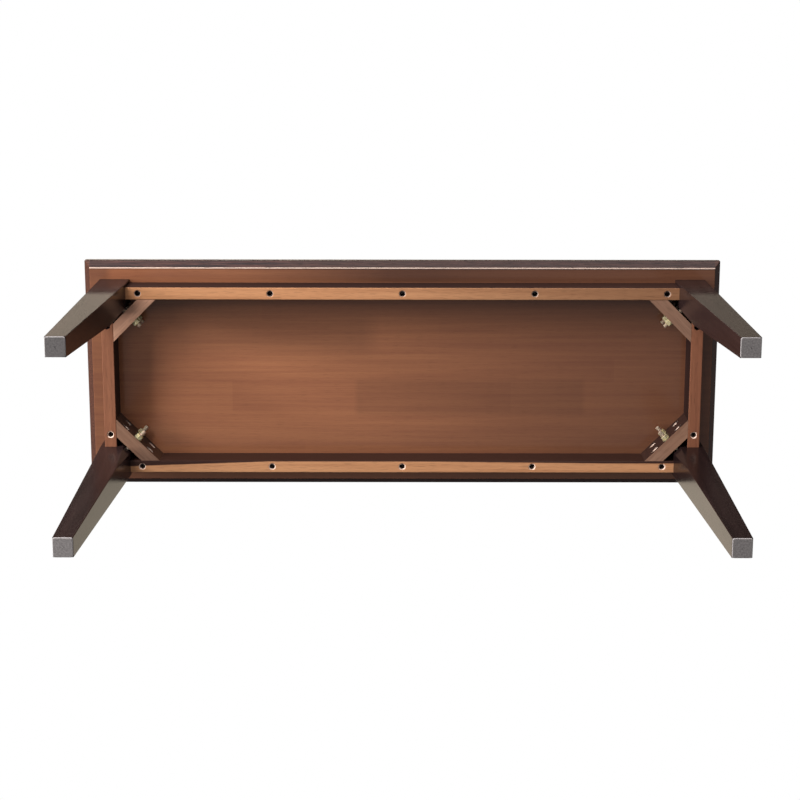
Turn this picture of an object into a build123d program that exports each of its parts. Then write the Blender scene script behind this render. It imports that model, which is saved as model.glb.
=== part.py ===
from build123d import *
from math import sqrt
import os

# A backless solid wood bench. Four square tapered legs are drawn into the corners of an apron frame by two
# hanger bolts each, through corner braces that are screwed across the aprons.
# Origin: centre of the footprint on the floor. +X runs along the bench, -Y is the front, +Z is up.

# Seat board
SEAT_LENGTH = 950.0
SEAT_DEPTH = 343.0
SEAT_THICKNESS = 24.0
OVERALL_HEIGHT = 480.0
BEVEL_RUN = 9.5            # underside bevel, measured inwards
BEVEL_RISE = 13.5           # underside bevel, measured upwards
SEAT_EASING = 1.5           # radius on the board's edges

# Legs
LEG_TOP = 44.5              # square block beside the aprons
LEG_FOOT = 27.0             # square at the foot, the taper is on the two inner faces
END_OVERHANG = 24.0         # seat end to the leg's outer face
SIDE_OVERHANG = 26.5        # seat side to the leg's outer face
LEG_CORNER_CUT = 10.0       # flat for the hanger bolts across the block's inner corner
LEG_EASING = 0.8

# Foot pads
PAD_SIDE = 26.4
PAD_THICKNESS = 2.5
PAD_CHAMFER = 1.2

# Aprons
APRON_HEIGHT = 47.0
APRON_THICKNESS = 18.0
LONG_APRON_SETBACK = 5.0    # behind the legs' outer faces
SHORT_APRON_SETBACK = 7.0
APRON_EASING = 1.2

# Corner braces
BRACE_THICKNESS = 19.0
BRACE_REACH = 63.0          # inner face to the corner of the apron frame, along each apron
POCKET_FROM_MIDDLE = 24.0   # pocket centres, along the inner face
POCKET_ROW = 13.0           # pocket centres, above and below the brace's mid-height
POCKET_RADIUS = 5.0
POCKET_SEAT = 9.0           # wood left between the screw head and the apron

# Seat screws, driven up through the bottom edges of the aprons
SEAT_SCREW_RADIUS = 2.2
SEAT_SCREW_LENGTH = 40.0
SEAT_SCREW_CLEARANCE = 2.5
COUNTERBORE_RADIUS = 4.0
COUNTERBORE_DEPTH = 18.0
COUNTERBORE_RIM = 1.5       # chamfer round the mouth
LONG_SCREW_PITCH = 194.5
LONG_SCREW_COUNT = 5
SHORT_SCREW_PITCH = 164.0
SHORT_SCREW_COUNT = 2

# Brace screws
BRACE_SCREW_RADIUS = 2.0
BRACE_SCREW_LENGTH = 22.0
BRACE_SCREW_CLEARANCE = 2.25

SCREW_HEAD_RADIUS = 3.8
SCREW_HEAD_HEIGHT = 2.8
SCREW_TIP = 5.0
SCREW_TIP_RADIUS = 0.4

# Hanger bolts, nuts and washers, size M6, two to each leg
BOLT_RADIUS = 3.0
BOLT_LENGTH = 60.0
BOLT_IN_FRONT_LEG = 25.0
BOLT_IN_BACK_LEG = 22.0
BOLT_ROW = 15.0             # bolts above and below the brace's mid-height
BOLT_CHAMFER = 0.6
BRACE_BOLT_HOLE = 3.5
NUT_ACROSS_FLATS = 10.0
NUT_HEIGHT = 5.0
WASHER_RADIUS = 6.0
WASHER_BORE = 3.2
WASHER_THICKNESS = 1.6

# Places worked out from the dimensions above
SEAT_BOTTOM = OVERALL_HEIGHT - SEAT_THICKNESS
BEVEL_TOP = SEAT_BOTTOM + BEVEL_RISE
APRON_BOTTOM = SEAT_BOTTOM - APRON_HEIGHT
APRON_MIDDLE = APRON_BOTTOM + APRON_HEIGHT / 2
SCREW_SHOULDER = APRON_BOTTOM + COUNTERBORE_DEPTH
LEG_X = SEAT_LENGTH / 2 - END_OVERHANG
LEG_Y = SEAT_DEPTH / 2 - SIDE_OVERHANG
BLOCK_X = LEG_X - LEG_TOP
BLOCK_Y = LEG_Y - LEG_TOP
LONG_APRON_INNER = LEG_Y - LONG_APRON_SETBACK - APRON_THICKNESS
SHORT_APRON_INNER = LEG_X - SHORT_APRON_SETBACK - APRON_THICKNESS
LONG_APRON_MIDDLE = LONG_APRON_INNER + APRON_THICKNESS / 2
SHORT_APRON_MIDDLE = SHORT_APRON_INNER + APRON_THICKNESS / 2

# Each 45 degree face is the line |x| + |y| = span. The bolts lie over the leg's diagonal,
# |x| - |y| = BOLT_OFFSET.
BOLT_OFFSET = LEG_X - LEG_Y
BRACE_INNER_SPAN = SHORT_APRON_INNER + LONG_APRON_INNER - BRACE_REACH
BRACE_OUTER_SPAN = BRACE_INNER_SPAN + BRACE_THICKNESS * sqrt(2)
LEG_FLAT_SPAN = BLOCK_X + BLOCK_Y + LEG_CORNER_CUT

CORNERS = {"front_left": (-1, -1), "front_right": (1, -1), "back_left": (-1, 1), "back_right": (1, 1)}
FROM_BASE = (Align.CENTER, Align.CENTER, Align.MIN)

os.makedirs("parts", exist_ok=True)


def save(name, part):
    """Label a finished piece and write it to its own file."""
    part.label = name
    export_step(part, f"parts/{name}.step")


def bolt_planes(side_x, side_y, span, outward):
    """Planes across the axes of a leg's two bolts, facing the leg or the middle of the bench."""
    x = side_x * (span + BOLT_OFFSET) / 2
    y = side_y * (span - BOLT_OFFSET) / 2
    turn = 1 if outward else -1
    facing = (turn * side_x, turn * side_y, 0)
    heights = (APRON_MIDDLE - BOLT_ROW, APRON_MIDDLE + BOLT_ROW)
    return [Plane(origin=(x, y, height), x_dir=(0, 0, 1), z_dir=facing) for height in heights]


def brace_screw_planes(side_x, side_y):
    """Planes of the four screw head seats of one brace, facing the apron that each screw goes into."""
    middle_x = (BRACE_INNER_SPAN + BOLT_OFFSET) / 2
    middle_y = (BRACE_INNER_SPAN - BOLT_OFFSET) / 2
    shift = POCKET_FROM_MIDDLE / sqrt(2)
    planes = []
    for height in (APRON_MIDDLE - POCKET_ROW, APRON_MIDDLE + POCKET_ROW):
        long_seat = (side_x * (middle_x - shift), side_y * (LONG_APRON_INNER - POCKET_SEAT), height)
        short_seat = (side_x * (SHORT_APRON_INNER - POCKET_SEAT), side_y * (middle_y - shift), height)
        planes.append(Plane(origin=long_seat, x_dir=(0, 0, 1), z_dir=(0, side_y, 0)))
        planes.append(Plane(origin=short_seat, x_dir=(0, 0, 1), z_dir=(side_x, 0, 0)))
    return planes


def seat_screw_points(along_x, side):
    """Centres of the seat screws of one apron, seen from above."""
    if along_x:
        pitch, count = LONG_SCREW_PITCH, LONG_SCREW_COUNT
        return [((i - (count - 1) / 2) * pitch, side * LONG_APRON_MIDDLE) for i in range(count)]
    pitch, count = SHORT_SCREW_PITCH, SHORT_SCREW_COUNT
    return [(side * SHORT_APRON_MIDDLE, (i - (count - 1) / 2) * pitch) for i in range(count)]


def round_hole(plane, radius, depth):
    """Cut a round hole into the piece being made, from the plane along its normal."""
    with Locations(plane):
        Cylinder(radius, depth, align=FROM_BASE, mode=Mode.SUBTRACT)


def wood_screw(head_seat, radius, length):
    """Add a pan head screw to the piece being made, with its pointed shank along the plane's normal."""
    with Locations(head_seat.offset(-SCREW_HEAD_HEIGHT)):
        Cylinder(SCREW_HEAD_RADIUS, SCREW_HEAD_HEIGHT, align=FROM_BASE)
    with Locations(head_seat):
        Cylinder(radius, length - SCREW_TIP, align=FROM_BASE)
    with Locations(head_seat.offset(length - SCREW_TIP)):
        Cone(radius, SCREW_TIP_RADIUS, SCREW_TIP, align=FROM_BASE)


# Each apron: name, whether it runs along X, and its side of the bench
APRONS = {
    "apron_front": (True, -1),
    "apron_back": (True, 1),
    "apron_left": (False, -1),
    "apron_right": (False, 1),
}

# Seat board, bevelled all round underneath, with the pilot holes of the seat screws
with BuildPart() as seat_board:
    with BuildSketch(Plane.XY.offset(SEAT_BOTTOM)):
        Rectangle(SEAT_LENGTH - 2 * BEVEL_RUN, SEAT_DEPTH - 2 * BEVEL_RUN)
    with BuildSketch(Plane.XY.offset(BEVEL_TOP)):
        Rectangle(SEAT_LENGTH, SEAT_DEPTH)
    loft()
    with BuildSketch(Plane.XY.offset(BEVEL_TOP)):
        Rectangle(SEAT_LENGTH, SEAT_DEPTH)
    extrude(amount=OVERALL_HEIGHT - BEVEL_TOP)
    fillet(seat_board.edges(), SEAT_EASING)
    for along_x, side in APRONS.values():
        for x, y in seat_screw_points(along_x, side):
            pilot_depth = SCREW_SHOULDER + SEAT_SCREW_LENGTH - SEAT_BOTTOM
            round_hole(Plane(origin=(x, y, SEAT_BOTTOM)), SEAT_SCREW_RADIUS, pilot_depth)
save("seat_board", seat_board.part)

# Aprons, with the counterbored seat screw holes in their bottom edges and the pilot holes of the brace screws
for name, (along_x, side) in APRONS.items():
    with BuildPart() as apron:
        if along_x:
            length, depth, centre = 2 * BLOCK_X, APRON_THICKNESS, (0, side * LONG_APRON_MIDDLE)
        else:
            length, depth, centre = APRON_THICKNESS, 2 * BLOCK_Y, (side * SHORT_APRON_MIDDLE, 0)
        with BuildSketch(Plane.XY.offset(APRON_BOTTOM)):
            with Locations(centre):
                Rectangle(length, depth)
        extrude(amount=APRON_HEIGHT)
        run_axis = Axis.X if along_x else Axis.Y
        fillet(apron.edges().filter_by(run_axis).group_by(Axis.Z)[0], APRON_EASING)
        for x, y in seat_screw_points(along_x, side):
            mouth = Plane(origin=(x, y, APRON_BOTTOM))
            round_hole(mouth, SEAT_SCREW_CLEARANCE, APRON_HEIGHT)
            round_hole(mouth, COUNTERBORE_RADIUS, COUNTERBORE_DEPTH)
            with Locations(mouth):
                Cone(
                    COUNTERBORE_RADIUS + COUNTERBORE_RIM,
                    COUNTERBORE_RADIUS,
                    COUNTERBORE_RIM,
                    align=FROM_BASE,
                    mode=Mode.SUBTRACT,
                )
        for side_x, side_y in CORNERS.values():
            for seat_plane in brace_screw_planes(side_x, side_y):
                faces_this = seat_plane.z_dir.Y == side if along_x else seat_plane.z_dir.X == side
                if faces_this:
                    pilot_depth = BRACE_SCREW_LENGTH - POCKET_SEAT
                    round_hole(seat_plane.offset(POCKET_SEAT), BRACE_SCREW_RADIUS, pilot_depth)
    save(name, apron.part)

# Seat screws, one group for each apron
for name, (along_x, side) in APRONS.items():
    with BuildPart() as seat_screws:
        for x, y in seat_screw_points(along_x, side):
            wood_screw(Plane(origin=(x, y, SCREW_SHOULDER)), SEAT_SCREW_RADIUS, SEAT_SCREW_LENGTH)
    save(name.replace("apron", "seat_screws"), seat_screws.part)

for corner, (side_x, side_y) in CORNERS.items():
    bolt_in_leg = BOLT_IN_FRONT_LEG if side_y < 0 else BOLT_IN_BACK_LEG

    # Leg: a square block beside the aprons, tapered below it on the two inner faces
    with BuildPart() as leg:
        for plane, outer, foot, block, mode in (
            (Plane.XZ, side_x * LEG_X, side_x * (LEG_X - LEG_FOOT), side_x * BLOCK_X, Mode.ADD),
            (Plane.YZ, side_y * LEG_Y, side_y * (LEG_Y - LEG_FOOT), side_y * BLOCK_Y, Mode.INTERSECT),
        ):
            with BuildSketch(plane):
                with BuildLine():
                    Polyline(
                        (outer, PAD_THICKNESS),
                        (foot, PAD_THICKNESS),
                        (block, APRON_BOTTOM),
                        (block, SEAT_BOTTOM),
                        (outer, SEAT_BOTTOM),
                        close=True,
                    )
                make_face()
            extrude(amount=SEAT_LENGTH, both=True, mode=mode)
        with BuildSketch(Plane.XY.offset(PAD_THICKNESS)):
            with BuildLine():
                Polyline(
                    (side_x * BLOCK_X, side_y * BLOCK_Y),
                    (side_x * (BLOCK_X + LEG_CORNER_CUT), side_y * BLOCK_Y),
                    (side_x * BLOCK_X, side_y * (BLOCK_Y + LEG_CORNER_CUT)),
                    close=True,
                )
            make_face()
        extrude(amount=SEAT_BOTTOM - PAD_THICKNESS, mode=Mode.SUBTRACT)
        fillet(leg.edges().filter_by(lambda edge: edge.length > LEG_TOP), LEG_EASING)
        for flat in bolt_planes(side_x, side_y, LEG_FLAT_SPAN, True):
            round_hole(flat, BOLT_RADIUS, bolt_in_leg)
    save(f"leg_{corner}", leg.part)

    # Foot pad, glued under the foot
    with BuildPart() as foot_pad:
        with BuildSketch():
            with Locations((side_x * (LEG_X - LEG_FOOT / 2), side_y * (LEG_Y - LEG_FOOT / 2))):
                Rectangle(PAD_SIDE, PAD_SIDE)
        extrude(amount=PAD_THICKNESS)
        chamfer(foot_pad.faces().sort_by(Axis.Z)[0].edges(), PAD_CHAMFER)
    save(f"foot_pad_{corner}", foot_pad.part)

    # Corner brace: a board across the corner, mitred to lie flat on both aprons
    with BuildPart() as brace:
        with BuildSketch(Plane.XY.offset(APRON_BOTTOM)):
            with BuildLine():
                Polyline(
                    (side_x * (BRACE_INNER_SPAN - LONG_APRON_INNER), side_y * LONG_APRON_INNER),
                    (side_x * (BRACE_OUTER_SPAN - LONG_APRON_INNER), side_y * LONG_APRON_INNER),
                    (side_x * SHORT_APRON_INNER, side_y * (BRACE_OUTER_SPAN - SHORT_APRON_INNER)),
                    (side_x * SHORT_APRON_INNER, side_y * (BRACE_INNER_SPAN - SHORT_APRON_INNER)),
                    close=True,
                )
            make_face()
        extrude(amount=APRON_HEIGHT)
        for inner_face in bolt_planes(side_x, side_y, BRACE_INNER_SPAN, True):
            round_hole(inner_face, BRACE_BOLT_HOLE, BRACE_THICKNESS)
        for seat_plane in brace_screw_planes(side_x, side_y):
            round_hole(seat_plane.offset(-BRACE_REACH / 2), POCKET_RADIUS, BRACE_REACH / 2)
            round_hole(seat_plane, BRACE_SCREW_CLEARANCE, POCKET_SEAT)
    save(f"corner_brace_{corner}", brace.part)

    # The four screws of the brace
    with BuildPart() as brace_screws:
        for seat_plane in brace_screw_planes(side_x, side_y):
            wood_screw(seat_plane, BRACE_SCREW_RADIUS, BRACE_SCREW_LENGTH)
    save(f"brace_screws_{corner}", brace_screws.part)

    # Hanger bolts: wood thread in the leg, machine thread through the brace
    with BuildPart() as hanger_bolts:
        for flat in bolt_planes(side_x, side_y, LEG_FLAT_SPAN, False):
            with Locations(flat.offset(-bolt_in_leg)):
                Cylinder(BOLT_RADIUS, BOLT_LENGTH, align=FROM_BASE)
        chamfer(hanger_bolts.edges().filter_by(GeomType.CIRCLE), BOLT_CHAMFER)
    save(f"hanger_bolts_{corner}", hanger_bolts.part)

    # Flat washers on the brace's inner face
    with BuildPart() as washers:
        for inner_face in bolt_planes(side_x, side_y, BRACE_INNER_SPAN, False):
            with BuildSketch(inner_face):
                Circle(WASHER_RADIUS)
                Circle(WASHER_BORE, mode=Mode.SUBTRACT)
        extrude(amount=WASHER_THICKNESS)
    save(f"washers_{corner}", washers.part)

    # Hex nuts on the washers
    with BuildPart() as hex_nuts:
        for inner_face in bolt_planes(side_x, side_y, BRACE_INNER_SPAN, False):
            with BuildSketch(inner_face.offset(WASHER_THICKNESS)):
                RegularPolygon(NUT_ACROSS_FLATS / 2, 6, major_radius=False)
                Circle(BOLT_RADIUS, mode=Mode.SUBTRACT)
        extrude(amount=NUT_HEIGHT)
    save(f"hex_nuts_{corner}", hex_nuts.part)
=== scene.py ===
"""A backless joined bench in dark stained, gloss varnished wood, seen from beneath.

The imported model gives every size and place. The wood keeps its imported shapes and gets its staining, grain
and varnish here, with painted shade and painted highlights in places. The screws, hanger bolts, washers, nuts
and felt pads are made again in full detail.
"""

import math
from functools import partial

import bpy
import numpy as np
from bpy.props import FloatProperty, FloatVectorProperty, PointerProperty
from mathutils import Euler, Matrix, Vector


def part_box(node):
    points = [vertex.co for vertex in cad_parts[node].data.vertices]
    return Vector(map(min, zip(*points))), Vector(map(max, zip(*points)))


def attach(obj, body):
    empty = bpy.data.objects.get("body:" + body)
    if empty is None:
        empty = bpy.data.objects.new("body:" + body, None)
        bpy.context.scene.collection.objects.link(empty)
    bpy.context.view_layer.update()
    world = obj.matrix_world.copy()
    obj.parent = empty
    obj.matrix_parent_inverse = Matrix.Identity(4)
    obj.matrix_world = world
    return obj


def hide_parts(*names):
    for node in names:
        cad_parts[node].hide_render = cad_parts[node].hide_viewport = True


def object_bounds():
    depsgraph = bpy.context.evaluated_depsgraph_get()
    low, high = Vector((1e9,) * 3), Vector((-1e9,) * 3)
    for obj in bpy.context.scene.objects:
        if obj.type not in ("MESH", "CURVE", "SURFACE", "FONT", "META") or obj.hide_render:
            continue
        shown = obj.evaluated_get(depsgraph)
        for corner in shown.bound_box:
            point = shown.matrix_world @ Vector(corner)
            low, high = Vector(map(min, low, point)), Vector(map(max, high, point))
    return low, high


bl_info = {
    "name": "Joined Bench",
    "version": (1, 0, 0),
    "blender": (4, 5, 0),
    "location": "3D View > Sidebar > Bench",
    "description": "Finishes a packed wooden bench and makes its fastenings and felt pads",
    "category": "Object",
}

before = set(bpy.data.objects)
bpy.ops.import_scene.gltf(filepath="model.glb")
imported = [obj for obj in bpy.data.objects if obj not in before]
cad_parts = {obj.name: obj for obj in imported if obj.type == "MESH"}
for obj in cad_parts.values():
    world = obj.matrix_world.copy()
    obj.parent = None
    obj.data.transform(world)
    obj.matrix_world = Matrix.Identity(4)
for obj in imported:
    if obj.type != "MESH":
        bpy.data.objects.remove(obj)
CAD_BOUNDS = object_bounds()
MM = 0.001
UP = np.array([0.0, 0.0, 1.0])
CORNERS = {"front_left": (-1, -1), "front_right": (1, -1), "back_left": (-1, 1), "back_right": (1, 1)}
# How light each corner's brace and pad is: painted tones, which stand in for uneven light beneath the bench
BRACE_TONES = {"front_left": 1.7, "front_right": 0.9, "back_left": 0.68, "back_right": 1.0}
PAD_TONES = {"front_left": 0.55, "front_right": 0.92, "back_left": 0.92, "back_right": 0.97}

SIDES = {"front": (0, -1), "back": (0, 1), "left": (-1, 0), "right": (1, 0)}
X, Y, Z = (1.0, 0.0, 0.0), (0.0, 1.0, 0.0), (0.0, 0.0, 1.0)

# Places on the bench in millimetres, for where its finish changes
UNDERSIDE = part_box("seat_board")[0][2] / MM
SEAT_END, SEAT_BACK, _ = (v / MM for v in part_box("seat_board")[1])
BEVEL = 9.5
ARRIS = BEVEL - SEAT_BACK
BORE_REACH = 4.5

# Where the darker colour is laid, mostly as painted shade: how heavy, the region's edges, and how they ease
SEAT_STAIN_AND_SHADE = (
    # painted shade under the front overhang, deepest a little right of the middle
    (1.0, [(Y, -138, -142), (X, -260, -20, 0.12, 0.76), (X, 50, 350, 1.0, 0.3)], "LINEAR"),
    # a dark line a millimetre and a half wide beside the front lower arris, heavier to the right
    (1.0, [(Y, ARRIS + 2.8, ARRIS + 2.0), (X, -460, 0, 0.3, 0.9), (Z, UNDERSIDE + 0.3, UNDERSIDE + 0.1)],
     "LINEAR"),
    # painted shade: the whole board darker to the right, and its left end darker
    (0.55, [(X, -250, 450)], "SMOOTHSTEP"),
    (0.38, [(X, -430, -445)], "SMOOTHSTEP"),
    # painted shadow beside the front apron, and beside the back one
    (0.6, [(Y, -70, -115), (Y, -122, -121)], "SMOOTHSTEP"),
    (0.12, [(Y, 50, 115), (Y, 122, 121)], "SMOOTHSTEP"),
    # a darker length of one stave, and painted shade in a soft patch at the front left
    (0.16, [(X, -74, -66), (X, 278, 270), (Y, 4, 12), (Y, 66, 58)], "LINEAR"),
    (0.26, [(X, -360, -330), (X, -30, -60), (Y, -105, -75), (Y, -20, -50)], "LINEAR"),
    # painted shadow under the back overhang
    (0.32, [(Y, 138, 150)], "SMOOTHSTEP"),
)
# A pale line painted along the front lower arris, in place of the gleam on its varnish: how pale, and edges
ARRIS_PAINTED_HIGHLIGHT = (0.6, [(Y, ARRIS + 1.2, ARRIS + 0.9), (Z, UNDERSIDE + 1.1, UNDERSIDE + 0.7)])
# Where the darker colour is laid on each apron: painted shade on the front one, growing to the right, and over
# the whole left one; the back one evenly a little darker
APRON_STAIN_AND_SHADE = {
    "front": (0.58, [(X, -250, 380)], "SMOOTHSTEP"),
    "back": (0.1, [(Y, 0, 100)], "SMOOTHSTEP"),
    "left": (0.25, [(X, 0, -100)], "SMOOTHSTEP"),
}

# The grain's tones, the open pores of the veneer, and the lengths and tones of the seat's staves
TONE_DARK, TONE_LIGHT = 0.36, 0.88
OPEN_PORES = 0.85
STAVE_LENGTH = 0.42
STAVE_CONTRAST = 0.08


def linear(hex_colour):
    """An sRGB hex colour as the linear red, green and blue that a shader takes."""
    srgb = np.array([int(hex_colour[i:i + 2], 16) for i in (1, 3, 5)]) / 255.0
    return tuple(np.where(srgb <= 0.04045, srgb / 12.92, ((srgb + 0.055) / 1.055) ** 2.4))


def length(name, description, millimetres):
    """A length that the panel shows, with its default given in millimetres."""
    return FloatProperty(name=name, description=description, default=millimetres * MM, unit="LENGTH")


def colour(name, description, hex_colour):
    """A colour that the panel shows, with its default given as sRGB hex."""
    return FloatVectorProperty(
        name=name, description=description, default=linear(hex_colour), subtype="COLOR", min=0.0, max=1.0
    )


def power(name, description, watts):
    """A lamp's power that the panel shows."""
    return FloatProperty(name=name, description=description, default=watts, unit="POWER")


class HardwareSizes(bpy.types.PropertyGroup):
    """Sizes of the fastenings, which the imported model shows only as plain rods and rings."""

    bolt_diameter: length("Bolt diameter", "Across the crests of the hanger bolts' threads", 6)
    bolt_length: length("Bolt length", "From the wood point to the machined end", 60)
    bolt_pitch: length("Bolt pitch", "From crest to crest on the nut's half of a hanger bolt", 1.0)
    bolt_wood_pitch: length("Lag pitch", "From crest to crest on the half in the leg", 2.6)
    bolt_wood_length: length("Lag length", "How much of a hanger bolt is cut for wood", 25)
    bolt_spacing: length("Bolt spacing", "From the upper hanger bolt of a corner to the lower one", 30)
    nut_width: length("Nut width", "Across two opposite flats of a nut", 10)
    nut_height: length("Nut height", "From face to face of a nut", 5)
    screw_pitch: length("Screw pitch", "From crest to crest on the wood screws", 1.8)
    screw_head_diameter: length("Screw head", "Across the pan heads of the wood screws", 7.6)
    screw_head_height: length("Screw head height", "From the seat of a pan head to its crown", 2.8)
    recess_width: length("Recess width", "Across one arm of the cross recess", 0.95)
    seat_screw_diameter: length("Seat screw diameter", "Across the crests of the long screws", 4.4)
    brace_screw_diameter: length("Brace screw diameter", "Across the crests of the short screws", 4.0)
    brace_screw_length: length("Brace screw length", "From under the head to the point", 22)
    brace_screw_spacing: length("Brace screw spacing", "From the upper row to the lower row", 26)


class FinishColours(bpy.types.PropertyGroup):
    """Colours of the staining, the sawn edges and the plating. Two of them are also laid as painted shade and
    a painted highlight.
    """

    seat_light: colour("Seat light grain", "Stained early wood under the seat", "#9e6747")
    seat_dark: colour("Seat dark grain", "Stained late wood under the seat", "#8b573e")
    top_light: colour("Top light grain", "Stained early wood on the top and its edges", "#4e302a")
    top_dark: colour("Top dark grain", "Stained late wood on the top and its edges", "#211417")
    leg_light: colour("Leg light grain", "Stained early wood of the legs", "#302221")
    leg_dark: colour("Leg dark grain", "Stained late wood of the legs", "#201515")
    edge_light: colour("Edge light grain", "Sawn lower edges of the long aprons, between rings", "#d69b6f")
    edge_dark: colour("Edge dark grain", "Sawn lower edges of the long aprons, along rings", "#b87f58")
    short_light: colour("End apron light grain", "Their sawn lower edges, between rings", "#98644a")
    short_dark: colour("End apron dark grain", "Their sawn lower edges, along rings", "#80503b")
    brace_light: colour("Brace light grain", "Lower edges of the corner braces, between rings", "#a07a64")
    brace_dark: colour("Brace dark grain", "Lower edges of the corner braces, along rings", "#84604d")
    end_grain: colour("End strip", "Stained edge strip on the seat's two ends", "#7a4c38")
    # also laid as a painted highlight on counterbore mouths, in brace pockets and along the seat's front lower
    # arris
    bare_wood_and_highlight: colour("Bare wood", "Drilled walls that no stain has reached", "#f2d6c4")
    # also laid as painted shade under the seat and on the aprons
    heavy_stain_and_shade: colour("Heavy stain", "Stain where it ran or was brushed twice", "#3d2822")
    pore: colour("Pores", "Stain that has settled in the open pores", "#1c110e")
    zinc: colour("Zinc", "Clear zinc plating of the wood screws", "#aeb1b4")
    zinc_patch: colour("Zinc patches", "Second tint of the wood screws", "#8f9397")
    yellow_zinc: colour("Yellow zinc", "Yellow passivated plating of the nuts and washers", "#e0cf96")
    washer_patch: colour("Washer patches", "Second tint of the washers", "#e6dcb8")
    nut_patch: colour("Nut patches", "Second tint of the nuts", "#f0e4c0")
    pale_zinc: colour("Pale zinc", "Thinner plating of the hanger bolts", "#cfc2a8")
    bolt_patch: colour("Bolt patches", "Second tint of the hanger bolts", "#d8b8a8")
    felt_grey: colour("Felt", "Pressed felt under the feet", "#767170")
    floor: colour("Floor", "The studio's floor", "#e6e4e1")


class StudioSettings(bpy.types.PropertyGroup):
    """The lamps and the lens."""

    lens: FloatProperty(
        name="Lens", description="Focal length on a 36 mm wide frame", default=85.06, unit="CAMERA"
    )
    floor_size: FloatProperty(
        name="Floor size", description="Side of the square floor", default=9.0, unit="LENGTH"
    )
    key_power: power("Key", "Softbox below, in front and to the left", 99.0)
    left_power: power("Left", "Softbox low on the left", 52.0)
    under_power: power("Under", "Wide softbox below", 19.0)
    gleam_power: power("Gleam", "Narrow strip in front that only gloss mirrors", 22.0)
    top_power: power("Top", "Softbox above the front", 90.0)
    back_power: power("Back", "Softbox above the back", 60.0)


# ---------------------------------------------------------------- shader nodes


def add_node(tree, kind, inputs=(), stops=(), **settings):
    """Add a node: inputs maps a socket's name or number to a value or to another node's output."""
    node = tree.nodes.new(kind)
    for key, value in settings.items():
        setattr(node, key, value)
    for key, value in dict(inputs).items():
        if isinstance(value, bpy.types.NodeSocket):
            tree.links.new(value, node.inputs[key])
        else:
            node.inputs[key].default_value = value
    for index, (place, shade) in enumerate(stops):
        elements = node.color_ramp.elements
        element = elements[index] if index < len(elements) else elements.new(place)
        element.position = place
        element.color = (*shade, 1.0)
    return node


def new_material(name):
    """An empty node material and its tree."""
    material = bpy.data.materials.new(name)
    material.use_nodes = True
    material.node_tree.nodes.clear()
    return material, material.node_tree


def stretched_noise(tree, place, stretch, spacing, detail=3.0, distortion=0.0):
    """Noise whose cells are about spacing metres across the grain and stretch times as long along it."""
    inputs = {0: place, 1: (1.0 / stretch, 1.0, 1.0)}
    squeezed = add_node(tree, "ShaderNodeVectorMath", inputs, operation="MULTIPLY").outputs[0]
    inputs = {"Vector": squeezed, "Scale": 1.0 / spacing, "Detail": detail, "Distortion": distortion}
    return add_node(tree, "ShaderNodeTexNoise", inputs).outputs[0]


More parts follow.
